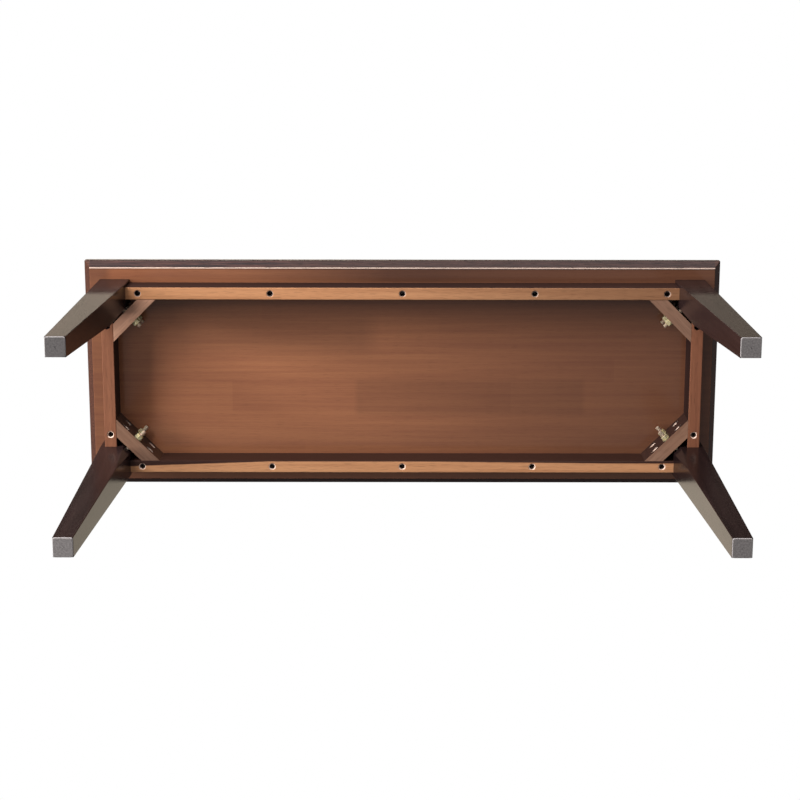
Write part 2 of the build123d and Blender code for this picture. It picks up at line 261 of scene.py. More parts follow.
def varnished_wood(name, turn, light, dark, pores=0.25, coat=1.0, polish=0.12, edge=None, bare_and_highlight=None,
                   open_above=None, staves=(), stain_and_shade=()):
    """Stained hardwood under a gloss varnish, with its grain along X once turned by turn.

    Stain gives the eye streaks that follow the grain, darker dashes in the pores and a slow drift of tone.
    The sprayed varnish is clear and nearly flat, so it mirrors what is beside it at a shallow angle.
    edge is the height of the sawn lower edge, with the light and the dark of its thin staining. Above
    open_above the wood is the darker open-pored face veneer. staves lists the glue lines across the board. The
    pale mask and each darkening mask take the tree and Object coordinates, and give how much pale wood, and
    how much darker colour, lies there. The pale wood is partly unstained and partly a painted highlight; the
    darker colour is partly heavier staining and partly painted shade.
    """
    shades = bpy.context.scene.bench_colours
    material, tree = new_material(name)
    solid = add_node(tree, "ShaderNodeTexCoord").outputs["Object"]
    height = add_node(tree, "ShaderNodeSeparateXYZ", {0: solid}).outputs[2]
    place = add_node(tree, "ShaderNodeMapping", {"Vector": solid, "Rotation": turn}).outputs[0]
    drift = stretched_noise(tree, place, 5.0, 120 * MM, 2.0)
    rings = stretched_noise(tree, place, 40.0, 7 * MM, 4.0, 0.3)
    fine = stretched_noise(tree, place, 60.0, 1.6 * MM, 2.0)
    dashes = stretched_noise(tree, place, 22.0, 0.8 * MM, 1.0)
    tone = stave_tone(tree, place, staves) if staves else 0.0
    for pattern, share, offset in ((drift, 0.9, -0.45), (rings, 0.9, 0.0), (fine, 0.35, 0.0)):
        inputs = {0: pattern, 1: share, 2: offset}
        layer = add_node(tree, "ShaderNodeMath", inputs, operation="MULTIPLY_ADD").outputs[0]
        tone = add_node(tree, "ShaderNodeMath", {0: tone, 1: layer}, operation="ADD").outputs[0]
    stops = [(TONE_DARK, dark), (TONE_LIGHT, light)]
    wood = add_node(tree, "ShaderNodeValToRGB", {0: tone}, stops).outputs[0]
    layers = []
    strength = pores
    if open_above is not None:
        inputs = {0: height, 1: open_above, 2: open_above + 0.5 * MM}
        veneer = add_node(tree, "ShaderNodeMapRange", inputs).outputs[0]
        streaks = stretched_noise(tree, place, 26.0, 2.6 * MM, 3.0, 0.6)
        stops = [(0.40, shades.top_dark), (0.62, shades.top_light)]
        face = add_node(tree, "ShaderNodeValToRGB", {0: streaks}, stops).outputs[0]
        inputs = {0: end_strip(tree, solid), 6: face, 7: (*shades.end_grain, 1.0)}
        face = add_node(tree, "ShaderNodeMix", inputs, data_type="RGBA").outputs[2]
        layers.append((veneer, face))
        inputs = {0: veneer, 3: pores, 4: OPEN_PORES}
        strength = add_node(tree, "ShaderNodeMapRange", inputs).outputs[0]
    if edge is not None:
        edge_height, edge_light, edge_dark = edge
        inputs = {0: height, 1: edge_height + 1.2 * MM, 2: edge_height + 0.3 * MM}
        sawn = add_node(tree, "ShaderNodeMapRange", inputs).outputs[0]
        stops = [(TONE_DARK, edge_dark), (TONE_LIGHT, edge_light)]
        layers.append((sawn, add_node(tree, "ShaderNodeValToRGB", {0: tone}, stops).outputs[0]))
    # the darker colour: heavier staining and painted shade
    layers += [(darkening(tree, solid), (*shades.heavy_stain_and_shade, 1.0)) for darkening in stain_and_shade]
    # the pale wood: unstained wood and a painted highlight
    if bare_and_highlight is not None:
        layers.append((bare_and_highlight(tree, solid), (*shades.bare_wood_and_highlight, 1.0)))
    depth = add_node(tree, "ShaderNodeMapRange", {0: dashes, 1: 0.57, 2: 0.66}).outputs[0]
    filled = add_node(tree, "ShaderNodeMath", {0: depth, 1: strength}, operation="MULTIPLY").outputs[0]
    for share, finish in (*layers, (filled, (*shades.pore, 1.0))):
        inputs = {0: share, 6: wood, 7: finish}
        wood = add_node(tree, "ShaderNodeMix", inputs, data_type="RGBA").outputs[2]
    inputs = {"Height": filled, "Strength": 0.35, "Distance": 0.15 * MM}
    relief = add_node(tree, "ShaderNodeBump", inputs, invert=True).outputs[0]
    inputs = {"Vector": solid, "Scale": 1.0 / (9 * MM), "Detail": 1.0}
    peel = add_node(tree, "ShaderNodeTexNoise", inputs).outputs[0]
    inputs = {"Height": peel, "Strength": 0.1, "Distance": 0.08 * MM, "Normal": relief}
    skin = add_node(tree, "ShaderNodeBump", inputs).outputs[0]
    inputs = {
        "Base Color": wood,
        "Roughness": 0.5,
        "IOR": 1.5,
        "Specular IOR Level": 0.0,
        "Coat Weight": coat,
        "Coat Roughness": polish,
        "Coat IOR": 1.5,
        "Normal": relief,
        "Coat Normal": skin,
    }
    shader = add_node(tree, "ShaderNodeBsdfPrincipled", inputs)
    add_node(tree, "ShaderNodeOutputMaterial", {"Surface": shader.outputs[0]})
    return material


def region(tree, solid, amount, edges, mirrored=False, ease="LINEAR"):
    """amount within a region of the bench, fading out over the region's edges.

    Along its way, an edge (way, start, end) rises from 0 to 1 between two places in millimetres, or from a
    fourth value to a fifth. The edges multiply. A mirrored region is the same on every quarter of the bench.
    """
    if mirrored:
        solid = add_node(tree, "ShaderNodeVectorMath", {0: solid}, operation="ABSOLUTE").outputs[0]
    for way, start, end, *values in edges:
        inputs = {0: solid, 1: way}
        place = add_node(tree, "ShaderNodeVectorMath", inputs, operation="DOT_PRODUCT").outputs["Value"]
        inputs = {0: place, 1: start * MM, 2: end * MM, **dict(zip((3, 4), values))}
        edge = add_node(tree, "ShaderNodeMapRange", inputs, interpolation_type=ease).outputs[0]
        amount = add_node(tree, "ShaderNodeMath", {0: amount, 1: edge}, operation="MULTIPLY").outputs[0]
    return amount


def end_strip(tree, solid):
    """Half strength on the seat's two ends, where the veneer gives way to its browner edge strip."""
    return region(tree, solid, 0.5, [(X, SEAT_END - BEVEL + 0.3, SEAT_END - BEVEL + 1.3)], mirrored=True)


def bore_bare_and_highlight(tree, solid, way, line, lower, amount):
    """amount on the mouths of a row of counterbores, 3 mm up from the lower edge, and 0.22 of it deeper in.

    The row stands at line along way, in millimetres. On the end aprons only the back counterbore is painted
    pale. The pale mouths are partly unstained wood and partly a painted highlight.
    """
    edges = [
        (way, line - BORE_REACH - 0.01, line - BORE_REACH),
        (way, line + BORE_REACH + 0.01, line + BORE_REACH),
        (Z, lower + 0.2, lower + 0.4),
        (Z, lower + 2.4, lower + 3.4, 1.0, 0.22),
    ]
    if way == X:
        edges.append((Y, 0.0, 0.01))
    return region(tree, solid, amount, edges)


def pocket_bare_and_highlight(tree, solid, ways, inner):
    """1 on the walls of a corner brace's screw pockets, from 1 mm past its inner face to 25 mm. These walls
    are painted pale, partly as unstained wood and partly as a painted highlight.

    ways point to the corner, and inner is how far the inner face lies along them, in millimetres.
    """
    outward = (*ways, 0.0)
    lowest = middle("apron_front")[2] / MM - 21.0
    edges = [
        (outward, inner + 1.0, inner + 2.0),
        (outward, inner + 25.5, inner + 24.5),
        (Z, lowest, lowest + 1.0),
    ]
    return region(tree, solid, 1.0, edges)


def back_apron_wedge(tree, solid):
    """Darker over the back apron's inner arris: half its edge on the left, 1 to 4 mm wide elsewhere."""
    across, along, _ = add_node(tree, "ShaderNodeSeparateXYZ", {0: solid}).outputs
    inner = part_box("apron_back")[0][1]
    inputs = {0: across, 1: -200 * MM, 2: -430 * MM, 3: inner + 1.2 * MM, 4: inner + 9.5 * MM}
    left = add_node(tree, "ShaderNodeMapRange", inputs).outputs[0]
    inputs = {0: across, 1: 50 * MM, 2: 300 * MM, 3: 0.0, 4: 2.4 * MM}
    right = add_node(tree, "ShaderNodeMapRange", inputs).outputs[0]
    line = add_node(tree, "ShaderNodeMath", {0: left, 1: right}, operation="ADD").outputs[0]
    short = add_node(tree, "ShaderNodeMath", {0: line, 1: along}, operation="SUBTRACT").outputs[0]
    return add_node(tree, "ShaderNodeMapRange", {0: short, 1: -0.4 * MM, 2: 0.6 * MM}).outputs[0]


def stave_tone(tree, place, staves):
    """A small lift or drop of tone for each stave, which also changes where two lengths of it meet."""
    along, across, _ = add_node(tree, "ShaderNodeSeparateXYZ", {0: place}).outputs
    number = 0.0
    for line in staves:
        past = add_node(tree, "ShaderNodeMath", {0: across, 1: line}, operation="GREATER_THAN").outputs[0]
        number = add_node(tree, "ShaderNodeMath", {0: past, 1: number}, operation="ADD").outputs[0]
    inputs = {0: number, 1: 0.37, 2: 0.13}
    shift = add_node(tree, "ShaderNodeMath", inputs, operation="MULTIPLY_ADD").outputs[0]
    inputs = {0: along, 1: 1.0 / STAVE_LENGTH, 2: shift}
    along = add_node(tree, "ShaderNodeMath", inputs, operation="MULTIPLY_ADD").outputs[0]
    along = add_node(tree, "ShaderNodeMath", {0: along}, operation="FLOOR").outputs[0]
    cell = add_node(tree, "ShaderNodeCombineXYZ", {0: along, 1: number}).outputs[0]
    chance = add_node(tree, "ShaderNodeTexWhiteNoise", {"Vector": cell}).outputs["Value"]
    inputs = {0: chance, 1: 2.0 * STAVE_CONTRAST, 2: -STAVE_CONTRAST}
    return add_node(tree, "ShaderNodeMath", inputs, operation="MULTIPLY_ADD").outputs[0]


def plated_steel(name, shade, tint, roughness, metallic=1.0):
    """Zinc plated steel. The plating gives the eye a satin gleam with patches of a second tint.

    metallic is under 1 on small pieces that must stay bright where gloss has nothing pale to mirror.
    """
    material, tree = new_material(name)
    solid = add_node(tree, "ShaderNodeTexCoord").outputs["Object"]
    inputs = {"Vector": solid, "Scale": 1.0 / (2.5 * MM), "Detail": 3.0}
    patches = add_node(tree, "ShaderNodeTexNoise", inputs).outputs[0]
    mix = add_node(tree, "ShaderNodeValToRGB", {0: patches}, [(0.42, shade), (0.62, tint)]).outputs[0]
    inputs = {"Vector": solid, "Scale": 1.0 / (0.4 * MM), "Detail": 2.0}
    specks = add_node(tree, "ShaderNodeTexNoise", inputs).outputs[0]
    inputs = {0: specks, 3: roughness - 0.1, 4: roughness + 0.1}
    rough = add_node(tree, "ShaderNodeMapRange", inputs).outputs[0]
    inputs = {"Height": specks, "Strength": 0.2, "Distance": 0.03 * MM}
    relief = add_node(tree, "ShaderNodeBump", inputs).outputs[0]
    inputs = {"Base Color": mix, "Metallic": metallic, "Roughness": rough, "Normal": relief}
    shader = add_node(tree, "ShaderNodeBsdfPrincipled", inputs)
    add_node(tree, "ShaderNodeOutputMaterial", {"Surface": shader.outputs[0]})
    return material


def pressed_felt(name, tone):
    """Pressed wool felt. Its short fibres give the eye a matt, mottled grey with a pale rim, which is a
    painted highlight where the rolled edge catches light. tone makes the pad lighter or darker as painted
    light.
    """
    grey = np.array(bpy.context.scene.bench_colours.felt_grey)
    material, tree = new_material(name)
    solid = add_node(tree, "ShaderNodeTexCoord").outputs["Object"]
    inputs = {"Vector": solid, "Scale": 1.0 / (2.2 * MM), "Detail": 5.0, "Roughness": 0.7}
    tufts = add_node(tree, "ShaderNodeTexNoise", inputs).outputs[0]
    stops = [(0.36, 0.7 * tone * grey), (0.66, np.minimum(1.0, 1.35 * tone * grey))]
    wool = add_node(tree, "ShaderNodeValToRGB", {0: tufts}, stops).outputs[0]
    # the rim: a painted highlight along the pad's rolled edge and side
    rim = add_node(tree, "ShaderNodeAttribute", attribute_name="rim").outputs["Fac"]
    inputs = {0: rim, 6: wool, 7: (*np.minimum(1.0, 2.0 * grey), 1.0)}
    wool = add_node(tree, "ShaderNodeMix", inputs, data_type="RGBA").outputs[2]
    inputs = {"Height": tufts, "Strength": 0.6, "Distance": 0.3 * MM}
    relief = add_node(tree, "ShaderNodeBump", inputs).outputs[0]
    inputs = {"Base Color": wool, "Roughness": 0.95, "Sheen Weight": 0.25, "Normal": relief}
    shader = add_node(tree, "ShaderNodeBsdfPrincipled", inputs)
    add_node(tree, "ShaderNodeOutputMaterial", {"Surface": shader.outputs[0]})
    return material


# ---------------------------------------------------------------- surfaces


def angles(sides):
    """Evenly spaced angles round a full turn."""
    return np.arange(sides) * (2.0 * math.pi / sides)


def revolve(radius, height, sides):
    """Points (radius cos a, radius sin a, height) on a grid of rows by angle a.

    radius and height are one value a row, or a whole grid where they change with the angle.
    """
    a = angles(sides)[None, :]
    radius = np.reshape(radius, (len(radius), -1))
    height = np.reshape(height, (len(height), -1))
    return np.stack(np.broadcast_arrays(radius * np.cos(a), radius * np.sin(a), height), axis=-1)


def thread_radius(distance, turn, pitch, crest, root):
    """The radius of a right-hand thread, in the fractions of a pitch f = distance / pitch - turn.

    It runs flat along the crest for an eighth of a pitch and along the root for a quarter, with straight
    flanks between.
    """
    f = np.mod(distance / pitch - turn, 1.0)
    flank = np.clip((np.abs(f - 0.5) - 0.0625) / 0.3125, 0.0, 1.0)
    return crest + (root - crest) * flank


BLUNT = 1e-9 * MM


def threaded_stem(span, pitch, crest, root, sides, tip, start=0.0):
    """A stem along z from start to span: a thread's radius, narrowed to a cone over the last tip metres."""
    s = np.linspace(start, span, int((span - start) / pitch * 8) + 1)[:, None]
    radius = thread_radius(s, angles(sides)[None, :] / (2.0 * math.pi), pitch, crest, root)
    cone = np.clip((span - s) / tip, 0.0, 1.0) * crest
    return revolve(np.minimum(radius, np.maximum(cone, 0.04 * crest)), s * np.ones_like(radius), sides)


def placed(shape, origins, axis, turns):
    """Copies of a shape with its z along axis, each at its origin and turned about the axis by its turn."""
    axis = np.asarray(axis, float)
    side = np.cross(UP, axis) if abs(axis[2]) < 0.9 else np.array([1.0, 0.0, 0.0])
    side /= np.linalg.norm(side)
    other = np.cross(axis, side)
    c, s = np.cos(turns)[:, None], np.sin(turns)[:, None]
    bases = np.stack([c * side + s * other, c * other - s * side, np.tile(axis, (len(turns), 1))], axis=1)
    return np.einsum("rsk,nkj->nrsj", shape, bases) + np.reshape(origins, (-1, 1, 1, 3))


def grid_mesh(grids, closed_ring):
    """Vertices and faces of grids shaped (copies, rows, sides, 3), each closed round its sides.

    The rows either close into a ring, as a washer's section does, or end in a fan about their middle.
    """
    copies, rows, sides, _ = grids.shape
    number = np.arange(copies * rows * sides).reshape(copies, rows, sides)
    vertices = [grids.reshape(-1, 3)]
    after = np.roll(number, -1, axis=2)
    if closed_ring:
        above = np.roll(number, -1, axis=1)
        above_after = np.roll(after, -1, axis=1)
        quads = np.stack([number, after, above_after, above], axis=-1).reshape(-1, 4)
        return np.concatenate(vertices), quads, np.zeros((0, 3), int)
    quads = np.stack([number[:, :-1], after[:, :-1], after[:, 1:], number[:, 1:]], axis=-1).reshape(-1, 4)
    poles = copies * rows * sides + np.arange(2 * copies).reshape(2, copies, 1)
    vertices += [grids[:, 0].mean(axis=1), grids[:, -1].mean(axis=1)]
    low = np.stack(np.broadcast_arrays(poles[0], after[:, 0], number[:, 0]), axis=-1)
    high = np.stack(np.broadcast_arrays(poles[1], number[:, -1], after[:, -1]), axis=-1)
    fans = np.concatenate([low.reshape(-1, 3), high.reshape(-1, 3)])
    return np.concatenate(vertices), quads, fans


def add_piece(name, shells, material, node, crease=40.0):
    """One object made of shells, each a pair (grids, closed_ring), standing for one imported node."""
    vertices, faces, sizes, first = [], [], [], 0
    for grids, closed_ring in shells:
        points, quads, fans = grid_mesh(grids, closed_ring)
        vertices.append(points)
        faces += [(quads + first).ravel(), (fans + first).ravel()]
        sizes += [np.full(len(quads), 4), np.full(len(fans), 3)]
        first += len(points)
    vertices = np.concatenate(vertices)
    corners = np.concatenate(faces).astype(np.int32)
    sizes = np.concatenate(sizes).astype(np.int32)
    mesh = bpy.data.meshes.new(name)
    mesh.vertices.add(len(vertices))
    mesh.vertices.foreach_set("co", vertices.astype(np.float32).ravel())
    mesh.loops.add(len(corners))
    mesh.loops.foreach_set("vertex_index", corners)
    mesh.polygons.add(len(sizes))
    mesh.polygons.foreach_set("loop_start", (np.cumsum(sizes) - sizes).astype(np.int32))
    mesh.polygons.foreach_set("use_smooth", np.ones(len(sizes), bool))
    mesh.update(calc_edges=True)
    mesh.validate()
    mesh.set_sharp_from_angle(angle=math.radians(crease))
    mesh.materials.append(material)
    piece = bpy.data.objects.new(name, mesh)
    bpy.context.scene.collection.objects.link(piece)
    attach(piece, "root")
    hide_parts(node)
    return piece


def middle(node):
    """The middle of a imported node's box."""
    low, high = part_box(node)
    return (np.array(low) + np.array(high)) / 2.0


def bolt_axes(node, ways, spacing):
    """The way a corner's two bolts point into the frame, and the middles of a node's two pieces on them."""
    inward = np.array([-ways[0], -ways[1], 0.0]) / math.sqrt(2)
    return inward, middle(node) + np.outer([-0.5, 0.5], UP) * spacing


def paint(nodes, material):
    """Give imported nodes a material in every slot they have."""
    for node in nodes:
        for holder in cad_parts[node].material_slots:
            holder.material = material


# ---------------------------------------------------------------- operators


class BENCH_OT_seat(bpy.types.Operator):
    """Stain the seat: smooth glued staves below, dark open-pored veneer on the top and the bevels, with
    painted shade and a painted highlight below
    """

    bl_idname = "bench.seat"
    bl_label = "Stain the seat"

    def execute(self, context):
        shades = context.scene.bench_colours
        staves = [y * MM for y in (-128, -82, -24, 11, 57, 104)]
        stain_and_shade = [partial(region, amount=heavy, edges=edges, ease=ease) for heavy, edges, ease in SEAT_STAIN_AND_SHADE]
        material = varnished_wood(
            "walnut_stained_seat", (0.0, 0.0, 0.0), shades.seat_light, shades.seat_dark, pores=0.12,
            bare_and_highlight=partial(region, amount=ARRIS_PAINTED_HIGHLIGHT[0], edges=ARRIS_PAINTED_HIGHLIGHT[1]), open_above=(UNDERSIDE + 0.3) * MM,
            staves=staves, stain_and_shade=stain_and_shade,
        )
        paint(["seat_board"], material)
        return {"FINISHED"}


class BENCH_OT_aprons(bpy.types.Operator):
    """Stain the four aprons, dark on their faces and thin on their sawn lower edges, with painted shade and
    pale counterbore mouths that are partly a painted highlight
    """

    bl_idname = "bench.aprons"
    bl_label = "Stain the aprons"

    def execute(self, context):
        shades = context.scene.bench_colours
        # painted shade on the long aprons near the legs, at both ends
        painted_shade_at_legs = partial(region, amount=0.75, edges=[(X, 411, 425)], mirrored=True, ease="SMOOTHSTEP")
        for side, (x, y) in SIDES.items():
            node = f"apron_{side}"
            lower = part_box(node)[0][2]
            way = X if x else Y
            line = float(middle(node) @ way) / MM
            stain_and_shade = [painted_shade_at_legs] if y else []
            stain_and_shade += [back_apron_wedge] if side == "back" else []
            if side in APRON_STAIN_AND_SHADE:
                amount, edges, ease = APRON_STAIN_AND_SHADE[side]
                stain_and_shade.append(partial(region, amount=amount, edges=edges, ease=ease))
            thin = (shades.short_light, shades.short_dark) if x else (shades.edge_light, shades.edge_dark)
            strength = 0.35 if side == "front" else 1.0
            bare_and_highlight = partial(bore_bare_and_highlight, way=way, line=line, lower=lower / MM, amount=strength)
            material = varnished_wood(
                f"walnut_stained_apron_{side}", (0.0, 0.0, math.pi / 2 if x else 0.0), shades.leg_light,
                shades.leg_dark, coat=0.4, polish=0.3, stain_and_shade=stain_and_shade, edge=(lower, *thin), bare_and_highlight=bare_and_highlight,
            )
            paint([node], material)
        return {"FINISHED"}


class BENCH_OT_legs(bpy.types.Operator):
    """Stain the four tapered legs, with the grain along them"""

    bl_idname = "bench.legs"
    bl_label = "Stain the legs"

    def execute(self, context):
        shades = context.scene.bench_colours
        material = varnished_wood(
            "walnut_stained_leg", (0.0, math.pi / 2, 0.0), shades.leg_light, shades.leg_dark, coat=0.6,
            polish=0.2,
        )
        paint([f"leg_{corner}" for corner in CORNERS], material)
        return {"FINISHED"}


class BENCH_OT_braces(bpy.types.Operator):
    """Stain the corner braces, with the grain along each one, each brace lighter or darker as painted light,
    with pale pockets that are partly a painted highlight
    """

    bl_idname = "bench.braces"
    bl_label = "Stain the corner braces"

    def execute(self, context):
        shades = context.scene.bench_colours
        for corner, ways in CORNERS.items():
            node = f"corner_brace_{corner}"
            tone = BRACE_TONES[corner]
            light = [tone * c for c in shades.brace_light]
            dark = [tone * c for c in shades.brace_dark]
            low, high = (np.array(v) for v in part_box(node))
            inner = np.abs([low[0], high[0]]).min() + np.abs([low[1], high[1]]).max()
            bare_and_highlight = partial(pocket_bare_and_highlight, ways=ways, inner=inner / MM)
            material = varnished_wood(
                f"walnut_stained_brace_{corner}", (0.0, 0.0, ways[0] * ways[1] * math.pi / 4),
                shades.leg_light, shades.leg_dark, edge=(low[2], light, dark), bare_and_highlight=bare_and_highlight,
            )
            paint([node], material)
        return {"FINISHED"}


class BENCH_OT_hanger_bolts(bpy.types.Operator):
    """Make the hanger bolts: a lag thread in the leg and a machine thread for the nut"""

    bl_idname = "bench.hanger_bolts"
    bl_label = "Make the hanger bolts"

    def execute(self, context):
        sizes = context.scene.bench_sizes
        shades = context.scene.bench_colours
        crest = sizes.bolt_diameter / 2
        lag = sizes.bolt_wood_length
        machined = sizes.bolt_length - lag
        rod = threaded_stem(machined, sizes.bolt_pitch, crest, 0.83 * crest, 24, BLUNT)
        rod[..., :2] *= np.minimum(1.0, 0.72 + (machined - rod[..., 2]) / (1.6 * MM))[..., None]
        screw = threaded_stem(lag, sizes.bolt_wood_pitch, crest, 0.7 * crest, 24, 6 * MM)
        material = plated_steel("pale_zinc_bolt", shades.pale_zinc, shades.bolt_patch, 0.32, 0.45)
        for corner, ways in CORNERS.items():
            node = f"hanger_bolts_{corner}"
            inward, rows = bolt_axes(node, ways, sizes.bolt_spacing)
            neck = rows + inward * (lag - sizes.bolt_length / 2)
            turns = np.array([0.4, 2.1])
            halves = (placed(rod, neck, inward, turns), placed(screw, neck, -inward, turns))
            shells = [(half, False) for half in halves]
            add_piece(f"hanger_bolt_pair_{corner}", shells, material, node, 60.0)
        return {"FINISHED"}


class BENCH_OT_washers(bpy.types.Operator):
    """Make the washers: flat rings with rolled edges"""

    bl_idname = "bench.washers"
    bl_label = "Make the washers"

    def execute(self, context):
        sizes = context.scene.bench_sizes
        shades = context.scene.bench_colours
        material = plated_steel("yellow_zinc_washer", shades.yellow_zinc, shades.washer_patch, 0.28, 0.5)
        for corner, ways in CORNERS.items():
            node = f"washers_{corner}"
            inward, rows = bolt_axes(node, ways, sizes.bolt_spacing)
            low, high = (np.array(v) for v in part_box(node))
            outer = (high[2] - low[2] - sizes.bolt_spacing) / 2
            thick = (high[0] - low[0]) * math.sqrt(2) - 2 * outer
            bore = sizes.bolt_diameter / 2 + 0.2 * MM
            ring = washer_section(bore, outer, thick)
            shells = [(placed(ring, rows - inward * thick / 2, inward, np.zeros(2)), True)]
            add_piece(f"washer_pair_{corner}", shells, material, node)
        return {"FINISHED"}


def washer_section(bore, outer, thick, rolled=0.3 * MM, sides=64):
    """A ring: the rounded rectangle from bore to outer and from 0 to thick, carried round the axis.

    Each corner of the rectangle is a quarter turn of radius rolled, in four steps.
    """
    quarter = np.linspace(0.0, math.pi / 2, 5)
    turn = np.concatenate([quarter + k * math.pi / 2 for k in (2, 3, 0, 1)])
    centre_r = np.repeat([bore + rolled, outer - rolled, outer - rolled, bore + rolled], 5)
    centre_z = np.repeat([rolled, rolled, thick - rolled, thick - rolled], 5)
    return revolve(centre_r + rolled * np.cos(turn), centre_z + rolled * np.sin(turn), sides)


class BENCH_OT_hex_nuts(bpy.types.Operator):
    """Make the hexagon nuts, chamfered on both faces"""

    bl_idname = "bench.hex_nuts"
    bl_label = "Make the hexagon nuts"

    def execute(self, context):
        sizes = context.scene.bench_sizes
        shades = context.scene.bench_colours
        material = plated_steel("yellow_zinc_nut", shades.yellow_zinc, shades.nut_patch, 0.24, 0.5)
        nut = hexagon_nut(sizes.bolt_diameter / 2, sizes.nut_width / 2, sizes.nut_height)
        for index, (corner, ways) in enumerate(CORNERS.items()):
            node = f"hex_nuts_{corner}"
            inward, rows = bolt_axes(node, ways, sizes.bolt_spacing)
            turns = np.array([0.2, 0.7]) + 0.35 * index
            shells = [(placed(nut, rows - inward * sizes.nut_height / 2, inward, turns), True)]
            add_piece(f"hex_nut_pair_{corner}", shells, material, node, 25.0)
        return {"FINISHED"}


def hexagon_nut(bore, flat, thick, chamfer=0.4 * MM, sides=72):
    """A nut: at angle a its side is at flat / cos(a to the nearest flat), cut back by a 30 degree cone.

    The cone starts from a circle of 0.95 of the distance to a flat, so each flat ends in an arc.
    """
    away = np.mod(angles(sides) + math.pi / 6, math.pi / 3) - math.pi / 6
    side = flat / np.cos(away)
    face = 0.95 * flat
    cut = (side - face) * math.tan(math.radians(30))
    one = np.ones(sides)
    mouth = bore + chamfer
    radius = [bore * one, mouth * one, face * one, side, side, face * one, mouth * one, bore * one]
    height = [chamfer * one, 0 * one, 0 * one, cut, thick - cut, thick * one, thick * one,
              (thick - chamfer) * one]
    return revolve(np.array(radius), np.array(height), sides)


def pan_head(radius, tall, arm, reach, sides=64, rows=26):
    """A pan head above z = 0, crown towards -z: a quarter of a superellipse of power 2.6 turned round z.

    Where two crossed arms of width arm and half length reach lie, the crown is sunk, deepest in the middle.
    """
    bend = np.linspace(0.0, math.pi / 2, rows)
    profile_r = np.append(radius * np.sin(bend) ** (2 / 2.6), 0.4 * radius)
    profile_z = np.append(-tall * np.cos(bend) ** (2 / 2.6), 0.0)
    profile_r[0] = 0.02 * radius
    head = revolve(profile_r, profile_z, sides)
    x, y = np.abs(head[..., 0]), np.abs(head[..., 1])
    soft = 0.25 * MM

    def inside(across, along):
        return np.clip((arm / 2 - across) / soft + 0.5, 0, 1) * np.clip((reach - along) / soft + 0.5, 0, 1)

    cross = np.maximum(inside(x, y), inside(y, x)) * (head[..., 2] < -0.3 * tall)
    head[..., 2] += cross * 1.5 * MM * (1.0 - 0.6 * np.hypot(x, y) / reach)
    return head


def screw_shells(crest, span, origins, axis, turns, sizes):
    """The two shells of wood screws: the pan head on its seat, and the pointed threaded stem."""
    head = pan_head(sizes.screw_head_diameter / 2, sizes.screw_head_height, sizes.recess_width, 2.1 * MM)
    stem = threaded_stem(span, sizes.screw_pitch, crest, 0.68 * crest, 20, 4 * MM, start=-0.5 * MM)
    return [(placed(head, origins, axis, turns), False), (placed(stem, origins, axis, turns), False)]


class BENCH_OT_seat_screws(bpy.types.Operator):
    """Make the long wood screws that hold the seat, deep in their counterbores"""

    bl_idname = "bench.seat_screws"
    bl_label = "Make the seat screws"

    def execute(self, context):
        sizes = context.scene.bench_sizes
        shades = context.scene.bench_colours
        material = plated_steel("clear_zinc_seat_screw", shades.zinc, shades.zinc_patch, 0.35)
        head = sizes.screw_head_diameter / 2
        for number, side in enumerate(SIDES):
            node = f"seat_screws_{side}"
            low, high = (np.array(v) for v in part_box(node))
            count = 5 if side in ("front", "back") else 2
            across = np.linspace(low + head, high - head, count)
            origins = across * (1, 1, 0) + UP * (low[2] + sizes.screw_head_height)
            span = high[2] - low[2] - sizes.screw_head_height
            turns = np.modf((np.arange(count) + 7 * number) * 0.618)[0] * math.pi
            shells = screw_shells(sizes.seat_screw_diameter / 2, span, origins, UP, turns, sizes)
            add_piece(f"seat_screw_row_{side}", shells, material, node, 50.0)
        return {"FINISHED"}


class BENCH_OT_brace_screws(bpy.types.Operator):
    """Make the short wood screws in the braces' pockets, two rows into each apron"""

    bl_idname = "bench.brace_screws"
    bl_label = "Make the brace screws"

    def execute(self, context):
        sizes = context.scene.bench_sizes
        shades = context.scene.bench_colours
        material = plated_steel("clear_zinc_brace_screw", shades.zinc, shades.zinc_patch, 0.35)
        head = sizes.screw_head_diameter / 2
        span = sizes.brace_screw_length
        crest = sizes.brace_screw_diameter / 2
        for corner, (x, y) in CORNERS.items():
            node = f"brace_screws_{corner}"
            low, high = (np.array(v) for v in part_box(node))
            inner = np.array([low[0] if x > 0 else high[0], low[1] if y > 0 else high[1]])
            outer = np.array([high[0] if x > 0 else low[0], high[1] if y > 0 else low[1]])
            centre = inner + head * np.array([x, y])
            seat = outer - span * np.array([x, y])
            shells = []
            for origin, axis in (((seat[0], centre[1]), (x, 0, 0)), ((centre[0], seat[1]), (0, y, 0))):
                rows = np.outer([-0.5, 0.5], UP) * sizes.brace_screw_spacing
                rows += np.array([*origin, middle(node)[2]])
                shells += screw_shells(crest, span, rows, axis, np.array([0.5, 1.3]), sizes)
            add_piece(f"brace_screw_set_{corner}", shells, material, node, 50.0)
        return {"FINISHED"}


class BENCH_OT_foot_pads(bpy.types.Operator):
    """Make the felt pads under the feet: rounded squares with a soft rim"""

    bl_idname = "bench.foot_pads"
    bl_label = "Make the felt pads"

    def execute(self, context):
        for seed, (corner, tone) in enumerate(PAD_TONES.items()):
            material = pressed_felt(f"grey_pressed_felt_{corner}", tone)
            node = f"foot_pad_{corner}"
            low, high = (np.array(v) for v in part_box(node))
            shape, rim = felt_pad((high[0] - low[0]) / 2, high[2] - low[2], np.random.default_rng(seed))
            origin = middle(node) * (1, 1, 0) + UP * low[2]
            grids = placed(shape, [origin], UP, np.zeros(1))
            piece = add_piece(f"felt_pad_{corner}", [(grids, False)], material, node)
            attribute = piece.data.attributes.new("rim", "FLOAT", "POINT")
            attribute.data.foreach_set("value", np.append(rim.ravel(), [0.0, 0.0]).astype(np.float32))
        return {"FINISHED"}


